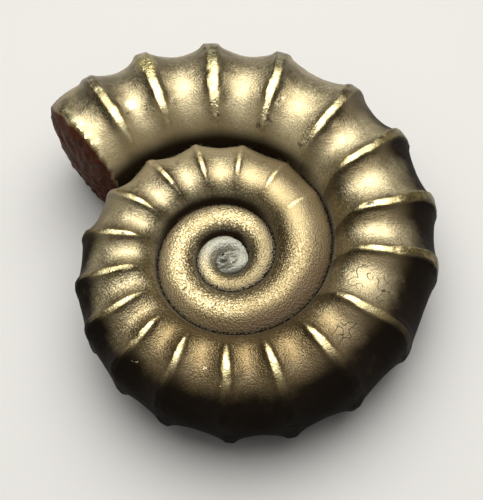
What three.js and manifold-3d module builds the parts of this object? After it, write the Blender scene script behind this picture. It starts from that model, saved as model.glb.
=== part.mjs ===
// A pyrite ammonite of the Promicroceras kind, one natural piece, lying on its lower flank.
//
// The shell is one tube, the whorl, wound in a flat spiral that widens as it turns. Each turn rests
// on the outer side of the turn before it, and all of them are fused into one solid. Sharp,
// flat-topped ribs cross the flanks and the outer side of the last turn and a half, and the inner
// turns are smooth. The two flanks mirror each other.
// Millimetres, +Z up. A winding angle counts degrees along the spiral, anticlockwise from above:
// 360 lies on +X in the last turn, and 360 less is one turn further in.

import * as THREE from "three";
import { mergeVertices } from "three/addons/utils/BufferGeometryUtils.js";
import Module from "manifold-3d";

const TURN = 360;

// Driving dimensions of the spiral
const RADIUS_AT_360 = 7.03; // from the spiral's axis to the outer side of the whorl
const GROWTH_PER_TURN = 0.61; // natural logarithm of the growth of that radius in one turn
const HEIGHT_SHARE = 0.2566; // half the whorl's height as a share of that radius
const HEIGHT_SHARE_FALL = 0.0573; // how much less that share is one turn later
const HALF_WIDTH_AT_360 = 2.14; // half the whorl's width, along the axis
const WIDTH_GROWTH_PER_TURN = 0.4074;
const SQUARENESS = 2.1; // exponent of the superelliptic section: 2 is an ellipse
const INWARD_BULGE = 0.12; // how much wider than that the section is towards its inner side
const FIRST_WINDING = -1170; // where the innermost visible whorl starts
const LAST_WINDING = 500.5; // the broken mouth, at mid-flank
const LIP_SLANT = 3.4; // degrees that the mouth's inner side runs ahead of mid-flank
const LIP_SLANT_START = 380; // winding angle where the rings start to slant
const LIP_SLANT_POWER = 4; // how late they do
const MOUTH_BULGE = 0.3; // how far the end face of the filled mouth stands out
const NUCLEUS_RADIUS = 0.36; // the first chamber, a ball in the middle of the spiral
const NUCLEUS_HALF_WIDTH = 0.56;

// Ribs: the winding angle of the last one, then the gaps to those before it, read one by one
const LAST_RIB = 489;
const RIB_GAPS = [
  15.5, 18, 19, 21.5, 18.5, 21, 18.5, 24, 21.5, 21.5, 20, 22.5, 19.5, 18.5, 18.5, 20.5, 21, 21.5,
  22, 22.5, 23.5, 23.5,
];
const RIB_HEIGHT = 0.31; // of a full-grown rib above the plain whorl
const HOLLOW_DEPTH = 0.09; // of the hollow between two ribs below the plain whorl
const RIB_FADE_IN = [-40, 215]; // winding angles between which the ribs grow to full height
const RIB_ON_OUTER_SIDE = [0.2, 0.88]; // share of that height on the outer side, early and late
const RIB_ON_OUTER_SIDE_RISE = [300, 440]; // winding angles between which that share grows
const OUTER_SIDE_SPREAD = 45; // around the section: how far that flattening reaches
const RIB_END = [100, 136]; // around the section: where a rib ends, on the first ribs and the last
const RIB_END_RISE = [20, 450]; // winding angles between which the ribs come to reach further in
const RIB_END_SPREAD = 23; // around the section: half the stretch on which a rib dies out
const RIB_LEAN = 2.8; // degrees by which the ribs' flanks lean towards one side of the spiral
const RIB_LEAN_TOWARDS = 31; // direction of that side
const RIB_LEAN_RISE = [60, 200]; // winding angles between which the lean grows
const RIB_LEAN_PLACES = [35, 85]; // around the section: none before, full lean after
const RIB_LEAN_END = [440, 485]; // winding angles between which the lean goes back to none
const CREST_SHARE = 0.075; // half the flat crest, as a share of the gap to the next rib
const FOOT_SHARE = 0.18; // the same for the foot of its steep side
const FOOT_HEIGHT = 0.48; // share of the rib's height that is left at that foot
const LIP_SWELL = 0.55; // share of a rib's height that the outer side keeps from there to the mouth
const LIP_SWELL_ENDS = [25, 80]; // around the section: full swell before, none after

// How finely the surface is cut into flat faces
const SMOOTH_STEP = 18; // degrees between rings on the ribless turns
// Rings between two ribs, as shares of the gap, and between the last rib and the mouth
const RING_SHARES = [CREST_SHARE, FOOT_SHARE, 0.32, 0.5, 0.68, 1 - FOOT_SHARE, 1 - CREST_SHARE];
const LIP_RING_SHARES = [0.1, 0.3, 0.65, 1];
const MOUTH_RING_SCALES = [0.94, 0.76, 0.45]; // of the section, on the mouth's end face
// Places round the upper half of the section: 0 is the outer side, 90 the flank, 180 the inner side
const HALF_SECTION = [0, 15, 30, 45, 60, 76, 92, 108, 126, 150, 180];
const LONGEST_PIECE = 180; // degrees of the spiral in one swept piece
const PLUG_SCALE = 0.6; // of the section at the tip of the plug that joins two pieces
const NUCLEUS_FACES = [12, 8]; // round the ball and from pole to pole

// How it lies: tipped until it rests on its lowest ribs, which are worn flat there
const REST_TIP = 2.3; // degrees
const REST_TIP_AXIS = 23.7; // direction of the level axis that it is tipped about
const WORN_DEPTH = 0.08; // taken off the lowest rib crests

const COLOUR = 0x8f7f55;

const radians = THREE.MathUtils.degToRad;
const smoothstep = THREE.MathUtils.smoothstep;
const lerp = THREE.MathUtils.lerp;

const turnsFrom360 = (winding) => winding / TURN - 1;
const outerRadius = (winding) => RADIUS_AT_360 * Math.exp(GROWTH_PER_TURN * turnsFrom360(winding));
const halfHeight = (winding) =>
  outerRadius(winding) * (HEIGHT_SHARE - HEIGHT_SHARE_FALL * turnsFrom360(winding));
const halfWidth = (winding) =>
  HALF_WIDTH_AT_360 * Math.exp(WIDTH_GROWTH_PER_TURN * turnsFrom360(winding));

const ribs = RIB_GAPS.reduce((found, gap) => [found[0] - gap, ...found], [LAST_RIB]);

// Shape of the ribbing at a winding angle: 1 on a crest, 0 midway between two ribs.
function ribProfile(winding) {
  const next = ribs.findIndex((rib) => rib > winding);
  const gap = next > 0 ? ribs[next] - ribs[next - 1] : RIB_GAPS[next < 0 ? 0 : RIB_GAPS.length - 1];
  const nearest = Math.min(...ribs.map((rib) => Math.abs(rib - winding)));
  const away = Math.min(nearest / gap, 0.5);
  if (away <= CREST_SHARE) return 1;
  if (away <= FOOT_SHARE)
    return THREE.MathUtils.mapLinear(away, CREST_SHARE, FOOT_SHARE, 1, FOOT_HEIGHT);
  return FOOT_HEIGHT * ((0.5 - away) / (0.5 - FOOT_SHARE)) ** 2;
}

// Height of the ribbing above the plain whorl at a winding angle and a place round the section.
function ribbing(winding, place) {
  const swell = winding > LAST_RIB ? 1 - smoothstep(Math.abs(place), ...LIP_SWELL_ENDS) : 0;
  const profile = Math.max(ribProfile(winding), LIP_SWELL * swell);
  const relief = RIB_HEIGHT * profile - HOLLOW_DEPTH * (1 - profile);
  const grown = smoothstep(winding, ...RIB_FADE_IN);
  const end = lerp(...RIB_END, smoothstep(winding, ...RIB_END_RISE));
  const onFlank = 1 - smoothstep(Math.abs(place), end - RIB_END_SPREAD, end + RIB_END_SPREAD);
  const outermost = lerp(...RIB_ON_OUTER_SIDE, smoothstep(winding, ...RIB_ON_OUTER_SIDE_RISE));
  const onOuterSide = lerp(outermost, 1, smoothstep(Math.abs(place), 0, OUTER_SIDE_SPREAD));
  return grown * onFlank * onOuterSide * relief;
}

// Degrees by which a ring is turned ahead at a place round the section, which makes the ribs lean.
function lean(winding, place) {
  const grown = smoothstep(winding, ...RIB_LEAN_RISE) * (1 - smoothstep(winding, ...RIB_LEAN_END));
  const share = grown * smoothstep(Math.abs(place), ...RIB_LEAN_PLACES);
  return -RIB_LEAN * share * Math.cos(radians(winding - RIB_LEAN_TOWARDS));
}

// One point of the whorl's surface: the section is scaled about its middle and moved ahead, in
// millimetres along the spiral, for the bulging end face and the plugs between pieces.
function whorlPoint(ringWinding, place, scale = 1, ahead = 0) {
  const bend = 2 / SQUARENESS;
  const [c, s] = [Math.cos(radians(place)), Math.sin(radians(place))];
  const across = Math.sign(c) * Math.abs(c) ** bend; // 1 on the outer side, -1 on the inner side
  const winding = ringWinding + lean(ringWinding, place);
  const high = halfHeight(winding);
  const wide = halfWidth(winding) * (1 - INWARD_BULGE * across);
  const rib = ribbing(ringWinding, place);
  const radius = outerRadius(winding) - high + scale * (high * across + rib * c);
  const up = scale * (wide * Math.sign(s) * Math.abs(s) ** bend + rib * s);
  const late = (winding - LIP_SLANT_START) / (LAST_WINDING - LIP_SLANT_START);
  const slant = LIP_SLANT * Math.max(late, 0) ** LIP_SLANT_POWER;
  const angle = radians(winding - slant * scale * across) + ahead / radius;
  return [radius * Math.cos(angle), radius * Math.sin(angle), up];
}

const section = [...HALF_SECTION, ...HALF_SECTION.slice(1, -1).reverse().map((place) => -place)];

const ring = (winding, scale = 1, ahead = 0) =>
  section.map((place) => whorlPoint(winding, place, scale, ahead));

// Winding angles of all rings: close about each rib, even on the smooth turns.
function ringWindings() {
  const windings = [];
  const smoothTurns = ribs[0] - FIRST_WINDING;
  const smoothSteps = Math.round(smoothTurns / SMOOTH_STEP);
  for (let i = 0; i < smoothSteps; i++) windings.push(FIRST_WINDING + (smoothTurns * i) / smoothSteps);
  for (let i = 0; i < ribs.length - 1; i++)
    for (const share of RING_SHARES) windings.push(ribs[i] + share * (ribs[i + 1] - ribs[i]));
  for (const share of LIP_RING_SHARES) windings.push(LAST_RIB + share * (LAST_WINDING - LAST_RIB));
  return windings;
}

// A closed tube through a list of rings, with a fan from a middle point over each end.
function tube(rings, startPoint, endPoint) {
  const count = section.length;
  const points = [...rings.flat(), startPoint, endPoint];
  const [start, end] = [points.length - 2, points.length - 1];
  const faces = [];
  for (let k = 0; k < count; k++) {
    const next = (k + 1) % count;
    for (let r = 0; r < rings.length - 1; r++) {
      const [a, b, c, d] = [r * count + k, r * count + next, (r + 1) * count + next, (r + 1) * count + k];
      faces.push(a, c, b, a, d, c);
    }
    const lastRing = (rings.length - 1) * count;
    faces.push(start, k, next, end, lastRing + next, lastRing + k);
  }
  const geometry = new THREE.BufferGeometry();
  geometry.setAttribute("position", new THREE.Float32BufferAttribute(points.flat(), 3));
  return geometry.setIndex(faces);
}

const middleOf = (winding, ahead = 0) => {
  const radius = outerRadius(winding) - halfHeight(winding);
  const angle = radians(winding) + ahead / radius;
  return [radius * Math.cos(angle), radius * Math.sin(angle), 0];
};

// A ring on the end face of the mouth, which bulges like part of a ball.
const mouthRing = (scale) => ring(LAST_WINDING, scale, MOUTH_BULGE * Math.sqrt(1 - scale ** 2));

// The spiral as tubes of half a turn or less, none of which meets itself. Where two of them join,
// each tapers to a plug inside the other, so that they share one ring and no face.
function whorlPieces() {
  const windings = ringWindings();
  const last = windings.length - 1;
  const pieces = [];
  for (let from = 0; from < last; ) {
    let to = from + 1;
    while (to < last && windings[to + 1] - windings[from] <= LONGEST_PIECE) to++;
    const rings = windings.slice(from, to + 1).map((winding) => ring(winding));
    const before = windings[Math.max(from - 1, 0)];
    if (from > 0) rings.unshift(ring(before, PLUG_SCALE));
    if (to < last) rings.push(ring(windings[to + 1], PLUG_SCALE));
    else for (const scale of MOUTH_RING_SCALES) rings.push(mouthRing(scale));
    const end = to < last ? middleOf(windings[to + 1]) : middleOf(LAST_WINDING, MOUTH_BULGE);
    pieces.push(tube(rings, middleOf(before), end));
    from = to;
  }
  return pieces;
}

const wasm = await Module();
wasm.setup();

function solidOf(geometry) {
  const bare = geometry.clone();
  bare.deleteAttribute("normal");
  bare.deleteAttribute("uv");
  const merged = mergeVertices(bare, 1e-5);
  const mesh = new wasm.Mesh({
    numProp: 3,
    vertProperties: merged.attributes.position.array,
    triVerts: new Uint32Array(merged.index.array),
  });
  return new wasm.Manifold(mesh);
}

function geometryOf(solid) {
  const mesh = solid.getMesh();
  const geometry = new THREE.BufferGeometry();
  geometry.setAttribute("position", new THREE.BufferAttribute(mesh.vertProperties, 3));
  geometry.setIndex(new THREE.BufferAttribute(mesh.triVerts, 1));
  return geometry;
}

// All pieces of the spiral and the nucleus as one solid about the spiral's own axis.
function shellSolid() {
  const nucleus = new THREE.SphereGeometry(1, ...NUCLEUS_FACES).rotateX(Math.PI / 2);
  nucleus.scale(NUCLEUS_RADIUS, NUCLEUS_RADIUS, NUCLEUS_HALF_WIDTH);
  return [...whorlPieces(), nucleus].map(solidOf).reduce((joined, piece) => joined.add(piece));
}

// The shell tipped onto its lowest ribs, with those crests worn down to one level plane.
function lyingShell() {
  const direction = radians(REST_TIP_AXIS);
  const axis = new THREE.Vector3(Math.cos(direction), Math.sin(direction), 0);
  const tip = new THREE.Matrix4().makeRotationAxis(axis, radians(REST_TIP));
  const tipped = geometryOf(shellSolid()).applyMatrix4(tip);
  tipped.computeBoundingBox();
  const box = tipped.boundingBox;
  const centre = box.getCenter(new THREE.Vector3());
  tipped.translate(-centre.x, -centre.y, -box.min.z - WORN_DEPTH);
  const span = 4 * RADIUS_AT_360;
  const below = new THREE.BoxGeometry(span, span, span).translate(0, 0, -span / 2);
  return geometryOf(solidOf(tipped).subtract(solidOf(below)));
}

const ammonite = new THREE.Mesh(
  lyingShell(),
  new THREE.MeshStandardMaterial({ color: COLOUR, roughness: 0.42, metalness: 0.9 }),
);
ammonite.name = "ammonite";

const fossil = new THREE.Group();
fossil.add(ammonite);

export default fossil;
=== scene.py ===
# %% [markdown]
# # A pyrite ammonite
#
# This lesson builds one small fossil: the shell of an ammonite, about 16 mm across, that pyrite
# has replaced. It is a single piece, a tube that winds in a flat spiral and widens as it goes, with
# sharp ribs that wear has polished to thin bright flats.
#
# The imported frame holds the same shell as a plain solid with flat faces. It says how large the
# fossil is and where it lies. Here the same spiral is made again with a surface fine enough to
# look at closely, and the plain solid stays as the body that rests and collides.

# %% Load the frame
import math

import bpy
import numpy as np
from mathutils import Matrix, Vector, noise
from mathutils.kdtree import KDTree


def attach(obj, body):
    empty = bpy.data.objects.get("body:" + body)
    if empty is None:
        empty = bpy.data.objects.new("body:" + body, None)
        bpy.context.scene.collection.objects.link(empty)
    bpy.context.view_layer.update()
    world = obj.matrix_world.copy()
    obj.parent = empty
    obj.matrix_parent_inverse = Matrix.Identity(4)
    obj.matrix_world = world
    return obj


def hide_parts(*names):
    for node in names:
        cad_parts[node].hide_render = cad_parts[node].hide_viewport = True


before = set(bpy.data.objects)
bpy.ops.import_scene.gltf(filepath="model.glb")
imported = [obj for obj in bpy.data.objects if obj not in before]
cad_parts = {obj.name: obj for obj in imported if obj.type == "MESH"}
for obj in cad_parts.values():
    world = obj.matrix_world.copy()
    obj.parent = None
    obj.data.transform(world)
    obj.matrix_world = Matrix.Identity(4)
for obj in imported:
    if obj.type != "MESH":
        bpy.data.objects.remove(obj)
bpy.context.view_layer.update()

bpy.ops.object.select_all(action="DESELECT")
MM = 0.001

# %% [markdown]
# ## Where the spiral lies
#
# The shell lies on one flank. The whorl is thickest at the mouth, so the spiral's axis leans a
# little from the vertical. Everything is worked out in the spiral's own frame first, with the axis
# upright and the origin in the middle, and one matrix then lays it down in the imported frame.

# %% The spiral's frame
REST_TIP = math.radians(2.3)
REST_TIP_AXIS = math.radians(23.7)
SPIRAL_CENTRE = Vector((-0.269, -1.184, 2.42)) * MM

tip_axis = Vector((math.cos(REST_TIP_AXIS), math.sin(REST_TIP_AXIS), 0))
laid_down = Matrix.Translation(SPIRAL_CENTRE) @ Matrix.Rotation(REST_TIP, 4, tip_axis)
print("the spiral's axis leans", round(math.degrees(REST_TIP), 2), "degrees")

# %% [markdown]
# ## The camera
#
# The photograph looks at the upper flank from about 25 degrees off the spiral's axis. Its long
# side is 500 pixels and its scale is 29 pixels to a millimetre at the spiral's centre, which sits
# a little left of the frame's middle and below it. Those numbers give the lens and the shift.

# %% Camera
FRAME_WIDTH, FRAME_HEIGHT = 483, 500
PIXELS_PER_MM = 29
VIEW_TILT = math.radians(24.84)
VIEW_DIRECTION = math.radians(100.53)
VIEW_DISTANCE = 1700  # in pixels, like the centre
CENTRE_PIXEL = (230.06, 266.87)
SENSOR = 36
CLIP_START, CLIP_END = 1 * MM, 2000 * MM

away = Vector((math.cos(VIEW_DIRECTION), math.sin(VIEW_DIRECTION), 0))
sideways = Vector((-away.y, away.x, 0))
to_camera = Vector((0, 0, math.cos(VIEW_TILT))) - away * math.sin(VIEW_TILT)
uphill = away * math.cos(VIEW_TILT) + Vector((0, 0, math.sin(VIEW_TILT)))
frame_right = uphill * away.x - sideways * away.y
frame_up = uphill * away.y + sideways * away.x
turn = Matrix((frame_right, frame_up, to_camera)).transposed().to_4x4()

bpy.ops.object.camera_add()
camera = bpy.context.object
camera.name = "camera"
camera.matrix_world = (
    laid_down @ Matrix.Translation(to_camera * VIEW_DISTANCE / PIXELS_PER_MM * MM) @ turn
)
camera.data.sensor_fit = "VERTICAL"
camera.data.sensor_height = SENSOR
camera.data.lens = SENSOR * VIEW_DISTANCE / FRAME_HEIGHT
camera.data.shift_x = (FRAME_WIDTH / 2 - CENTRE_PIXEL[0]) / FRAME_HEIGHT
camera.data.shift_y = (CENTRE_PIXEL[1] - FRAME_HEIGHT / 2) / FRAME_HEIGHT
camera.data.clip_start = CLIP_START
camera.data.clip_end = CLIP_END
bpy.context.scene.camera = camera
print("lens", round(camera.data.lens, 1), "mm")

# %% [markdown]
# ## The spiral as a formula
#
# A shell keeps its shape as it grows, so each size is an exponential of the winding angle. The
# angle counts degrees along the spiral: 360 lies on +X in the last turn and 360 less is one turn
# further in. The section is a rounded oval, measured by a place that is 0 on the outer side, 90
# on the upper flank, -90 on the lower one and 180 on the inner side.
#
# A curve with a bevel would give a round tube and no ribs. A formula for every point gives the
# oval, the ribs and the wear in one go, and the plain solid follows the same one.

# %% Sizes along the spiral
RADIUS_AT_360 = 7.03 * MM
GROWTH_PER_TURN = 0.61
HEIGHT_SHARE = 0.2566
HEIGHT_SHARE_FALL = 0.0573
HALF_WIDTH_AT_360 = 2.14 * MM
WIDTH_GROWTH_PER_TURN = 0.4074
SQUARENESS = 2.1
INWARD_BULGE = 0.12
FIRST_WINDING, LAST_WINDING = -1170, 500.5


def outer_radius(winding):
    return RADIUS_AT_360 * np.exp(GROWTH_PER_TURN * (winding / 360 - 1))


def half_height(winding):
    return outer_radius(winding) * (HEIGHT_SHARE - HEIGHT_SHARE_FALL * (winding / 360 - 1))


def half_width(winding):
    return HALF_WIDTH_AT_360 * np.exp(WIDTH_GROWTH_PER_TURN * (winding / 360 - 1))


def smoothstep(x, low, high):
    """0 up to low, 1 from high on, and an even S between them."""
    t = np.clip((x - low) / (high - low), 0, 1)
    return t * t * (3 - 2 * t)


print("whorl at the mouth:", round(2 * float(half_height(LAST_WINDING)) / MM, 2), "mm high")

# %% [markdown]
# ## Ribs
#
# The ribs aren't evenly spaced, so their gaps are a list, read from the mouth inwards. A rib is low
# on the early turns and grows to full height near the mouth. Wear has cut its crest to a flat with
# crisp edges, and the width of that flat is a second list. Both lists are in degrees along the
# spiral. Between two ribs the wall is a round hollow.

# %% Where the ribs are
LAST_RIB = 489
RIB_GAPS = [
    15.5, 18, 19, 21.5, 18.5, 21, 18.5, 24, 21.5, 21.5, 20, 22.5, 19.5, 18.5, 18.5, 20.5, 21,
    21.5, 22, 22.5, 23.5, 23.5,
]
CREST_WIDTHS = [
    2.8, 2.9, 3.6, 2.9, 2.7, 2.7, 2.7, 2.6, 3.3, 3.6, 3.6, 3.8, 3.4, 3.0, 2.9, 2.9, 3.3, 3.1,
    2.8, 2.8, 2.7, 3.4, 3.4,
]
LIP_HOLLOW = 8.5  # degrees from the last rib to the bottom of the hollow after it

ribs = LAST_RIB - np.concatenate([[0], np.cumsum(RIB_GAPS)])[::-1]
crest_halves = np.array(CREST_WIDTHS[::-1]) / 2


def nearest_rib(winding):
    """Degrees to the nearer rib, half the width of its crest, and half the gap it borders."""
    winding = np.asarray(winding, dtype=float)
    after = np.clip(np.searchsorted(ribs, winding, side="right"), 1, len(ribs) - 1)
    near = np.where(winding - ribs[after - 1] < ribs[after] - winding, after - 1, after)
    half_gap = np.where(winding > LAST_RIB, LIP_HOLLOW, (ribs[after] - ribs[after - 1]) / 2)
    return np.abs(winding - ribs[near]), crest_halves[near], half_gap


print(len(ribs), "ribs, from", ribs[0], "to", ribs[-1], "degrees")

# %% [markdown]
# ## A rib's worn crest
#
# The flat on a crest is widest on the flank, where the shell rubbed most. It runs to a point
# towards the inner side, where the rib dies out, and it is narrow on the outer side of the early
# ribs. In the values below, a pair in brackets is a stretch over which something changes: degrees
# along the spiral, or degrees round the section.

# %% Crest shape
CREST_END = 100
CREST_END_RISE, CREST_END_RISES = 15, (20, 160)
CREST_END_LATE_RISE, CREST_END_RISES_LATE = 21, (320, 450)
LATE_CRESTS = (400, 440)
CREST_TAPER, CREST_TAPER_AT_MOUTH = 25, 14
TAPER_POWER_FALL = 0.4
OUTER_CREST_GROWS = [(60, 200), (320, 380)]
OUTER_CREST_PLACE, OUTER_CREST_FALL, OUTER_CREST_FALLS = 80, 20, (30, 110)
OUTER_CREST_EDGE = (-10, 20)
RIDGE_SOFTNESS = 2.2
HOLLOW_POWER = 1.9
STEP_SHARE, STEP_WIDTH, STEP_POWER = 0.2, 1.3, 1.5


def crest_end(winding):
    """Place at which a crest's flat comes to a point. It reaches further in near the mouth."""
    rise = CREST_END_RISE * smoothstep(winding, *CREST_END_RISES)
    return CREST_END + rise + CREST_END_LATE_RISE * smoothstep(winding, *CREST_END_RISES_LATE)


def crest_share(winding, place):
    """Width of a crest's flat at a place, as a share of its greatest width."""
    side = np.abs(place)
    late = smoothstep(winding, *LATE_CRESTS)
    taper = CREST_TAPER + (CREST_TAPER_AT_MOUTH - CREST_TAPER) * late
    inner = np.clip((crest_end(winding) - side) / taper, 0, 1) ** (1 - TAPER_POWER_FALL * late)
    first_growth, second_growth = (smoothstep(winding, *ends) for ends in OUTER_CREST_GROWS)
    least = 0.5 * first_growth + 0.5 * second_growth
    start = OUTER_CREST_PLACE - OUTER_CREST_FALL * smoothstep(winding, *OUTER_CREST_FALLS)
    low, high = OUTER_CREST_EDGE
    return inner * (1 - (1 - least) * (1 - smoothstep(side, start + low, start + high)))


def rib_profile(winding, place, ragged=0):
    """1 on a crest, 0 midway between two ribs. ragged shifts the crest's edges, as chips do."""
    distance, crest_half, half_gap = nearest_rib(winding)
    share = crest_share(winding, place)
    soft = RIDGE_SOFTNESS * (1 - share)
    crest = crest_half * share * (1 + ragged)
    distance = np.hypot(np.maximum(distance - crest, 0), soft) - soft
    slope = (1 - np.clip(distance / (half_gap - crest_half * share), 0, 1)) ** HOLLOW_POWER
    step = (1 - np.clip(distance / STEP_WIDTH, 0, 1)) ** STEP_POWER
    return (1 - STEP_SHARE) * slope + STEP_SHARE * step


middle, far_in = (float(crest_share(480, place)) for place in (90, 130))
print("share of the flat's width on the flank and further in:", round(middle, 2), round(far_in, 2))

# %% [markdown]
# ## How high the ribs stand
#
# A rib stands 0.3 mm above the plain whorl and the hollow beside it dips 0.1 mm below. The early
# ribs are flat on the outer side, and all are worn a little lower on the flank. The lip after the
# last rib swells on the outer side and rounds down to the broken edge.

# %% Rib relief
RIB_HEIGHT = 0.31 * MM
HOLLOW_DEPTH = 0.09 * MM
RIB_FADE_IN = (-40, 215)
RIB_END_SPREAD = (22, 24)
RIB_ON_OUTER_SIDE, RIB_ON_OUTER_SIDE_RISES = (0.2, 0.88), (300, 440)
FLANK_START = 45
FLANK_WEAR, FLANK_WEAR_PLACE, FLANK_WEAR_SPREAD = 0.2, 92, 26
LIP_SWELL, LIP_SWELL_ENDS = 0.75, (25, 80)
OUTER_SIDE_ENDS = (20, 70)
LAST_RIB_WORN, LAST_RIB_WORN_RISES = 0.35, (482, 489)
LIP_ROUNDING, LIP_ROUNDING_START, LIP_ROUNDING_POWER = 0.14 * MM, 491, 4


def rib_relief(winding, place, ragged=0):
    """Height of the ribbing above the plain whorl, in metres. It is below 0 in the hollows."""
    side = np.abs(place)
    end = crest_end(winding)
    before_end, past_end = RIB_END_SPREAD
    grown = RIB_HEIGHT * smoothstep(winding, *RIB_FADE_IN)
    on_flank = 1 - smoothstep(side, end - before_end, end + past_end)
    low, high = RIB_ON_OUTER_SIDE
    flattened = low + (high - low) * smoothstep(winding, *RIB_ON_OUTER_SIDE_RISES)
    flattened += (1 - flattened) * smoothstep(side, 0, FLANK_START)
    worn = 1 - FLANK_WEAR * np.exp(-(((side - FLANK_WEAR_PLACE) / FLANK_WEAR_SPREAD) ** 2))
    swell = np.where(winding > LAST_RIB, LIP_SWELL * (1 - smoothstep(side, *LIP_SWELL_ENDS)), 0)
    profile = np.maximum(rib_profile(winding, place, ragged), swell)
    hollow = HOLLOW_DEPTH / RIB_HEIGHT * (1 - profile)
    on_outer_side = 1 - smoothstep(side, *OUTER_SIDE_ENDS)
    worn -= LAST_RIB_WORN * on_outer_side * smoothstep(winding, *LAST_RIB_WORN_RISES)
    late = np.clip((winding - LIP_ROUNDING_START) / (LAST_WINDING - LIP_ROUNDING_START), 0, 1)
    rounding = LIP_ROUNDING * on_outer_side * late**LIP_ROUNDING_POWER
    return grown * on_flank * flattened * (worn * profile - hollow) - rounding


print("last rib, mm:", (rib_relief(np.array(float(LAST_RIB)), np.array(60.0)) / MM).round(3))

# %% [markdown]
# ## From a place on the whorl to a point
#
# This is the formula that rolls the tube up. Near the mouth the rings slant, so that the broken
# edge runs as it does on the fossil, and the first turns sink a little below the pad that fills
# the centre.

# %% The plain whorl
CENTRE_SINK, CENTRE_SINK_ENDS = 0.32, (-760, -610)
LIP_SLANT, LIP_SLANT_START, LIP_SLANT_POWER = 3.4, 380, 4
RIB_LEAN, RIB_LEAN_TOWARDS = 2.8, 31
LEAN_PLACES, LEAN_RISES, LEAN_ENDS = (35, 85), (60, 200), (440, 485)


def lean(winding, place):
    """Degrees by which the ribs lean on the flanks."""
    share = smoothstep(np.abs(place), *LEAN_PLACES) * smoothstep(winding, *LEAN_RISES)
    return -RIB_LEAN * share * np.cos(np.radians(winding - RIB_LEAN_TOWARDS))


def surface_point(winding, place, scale=1.0, set_back=0.0, relief=None):
    """Points of the whorl. scale shrinks the section, and set_back moves it back from the mouth."""
    angle = np.radians(place)
    c, s = np.cos(angle), np.sin(angle)
    bend = 2 / SQUARENESS
    across = np.sign(c) * np.abs(c) ** bend
    if relief is None:
        relief = rib_relief(winding, place)
    leaning = winding + lean(winding, place) * (1 - smoothstep(winding, *LEAN_ENDS))
    high = half_height(leaning)
    radius = outer_radius(leaning) - high + scale * (high * across + relief * c)
    bulge = 1 - INWARD_BULGE * across
    bulge *= 1 - CENTRE_SINK * (1 - smoothstep(winding, *CENTRE_SINK_ENDS))
    up = scale * (half_width(leaning) * bulge * np.sign(s) * np.abs(s) ** bend + relief * s)
    late = np.clip((winding - LIP_SLANT_START) / (LAST_WINDING - LIP_SLANT_START), 0, None)
    slant = LIP_SLANT * late**LIP_SLANT_POWER
    around = np.radians(leaning - slant * scale * across) - set_back / radius
    return np.stack([radius * np.cos(around), radius * np.sin(around), up], axis=-1)


print("mid-flank at 360:", (surface_point(np.array(360.0), np.array(90.0)) / MM).round(2))

# %% [markdown]
# ## Wear
#
# The shell was tumbled before it was found. Its crests have ragged edges and lost chips, the wall
# between them has slow dents a few tenths of a millimetre wide, and the mouth is a jagged break.
# Smooth noise of the right size moves each point, so the wear is in the mesh and casts real
# shadows. Each kind has its own number, which shifts the noise to a fresh part.

# %% The worn whorl
DENT_SIZE, DENT_DEPTH = 0.55 * MM, 0.005 * MM
CHIP_SIZE, CHIP_DEPTH, CHIP_START = 0.22 * MM, 0.10 * MM, 0.25
CREST_TOP = 0.9
RAGGED_SIZE, RAGGED_AMOUNT = 0.28 * MM, 0.3
BREAK_SIZE, BREAK_DEPTH, BREAK_WAVE = 0.30 * MM, 0.22 * MM, 0.4
BREAK_PLACES, BREAK_START = (62, 100), 496


def noise_at(points, size, seed):
    """Smooth noise from -1 to 1 at each point, with bumps of about the given size."""
    shift = Vector((seed * 7.3, seed * 3.1, seed * 5.7))
    return np.array([noise.noise(Vector(p) / size + shift) for p in points])


def worn_surface_point(winding, place, scale, set_back):
    plain = surface_point(winding, place, scale, set_back)
    near_mouth = smoothstep(winding, BREAK_START, LAST_WINDING)
    broken = np.abs(noise_at(plain, BREAK_SIZE, 5)) * smoothstep(np.abs(place), *BREAK_PLACES)
    jagged = broken * scale + BREAK_WAVE * noise_at(plain, BREAK_SIZE, 6)
    set_back = set_back + near_mouth * BREAK_DEPTH * jagged
    ragged = RAGGED_AMOUNT * noise_at(plain, RAGGED_SIZE, 1)
    crest = rib_profile(winding, place) > CREST_TOP
    chips = np.clip(noise_at(plain, CHIP_SIZE, 2) - CHIP_START, 0, None) * CHIP_DEPTH
    dents = noise_at(plain, DENT_SIZE, 3) * DENT_DEPTH
    grown = smoothstep(winding, *RIB_FADE_IN)
    relief = rib_relief(winding, place, ragged) - crest * chips * grown + dents - DENT_DEPTH
    return surface_point(winding, place, scale, set_back, relief)


print("deepest chip about", round(CHIP_DEPTH * (1 - CHIP_START) / MM, 3), "mm")

# %% [markdown]
# ## Rings
#
# The tube needs many rings where a rib's edges are crisp and few in the smooth hollows, so the
# rings crowd towards each rib. The first turns have no ribs and take even steps.

# %% Ring angles
SECTION_POINTS = 128
RINGS_PER_GAP = 28
RING_CROWDING = 0.72
SMOOTH_STEP = 4
LIP_RINGS, LIP_CROWDING = 16, 1.4


def ring_angles():
    smooth = np.arange(FIRST_WINDING, ribs[0], SMOOTH_STEP)
    even = np.arange(RINGS_PER_GAP) / RINGS_PER_GAP
    crowded = even - RING_CROWDING * np.sin(2 * np.pi * even) / (2 * np.pi)
    ribbed = np.concatenate([a + crowded * (b - a) for a, b in zip(ribs[:-1], ribs[1:])])
    shares = np.linspace(0, 1, LIP_RINGS) ** LIP_CROWDING
    last = LAST_RIB + shares * (LAST_WINDING - LAST_RIB)
    return np.concatenate([smooth, ribbed, last])


angles = ring_angles()
print(len(angles), "rings of", SECTION_POINTS, "points")

# %% [markdown]
# ## A straight tube
#
# A tube starts straight: one open ring of faces from a cylinder, repeated along Z by an Array
# modifier that merges the copies, with its two ends closed. That gives an even grid of faces, which
# is easier to get right straight than rolled up.

# %% Make a straight tube
MERGE_REACH = 0.001


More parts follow.
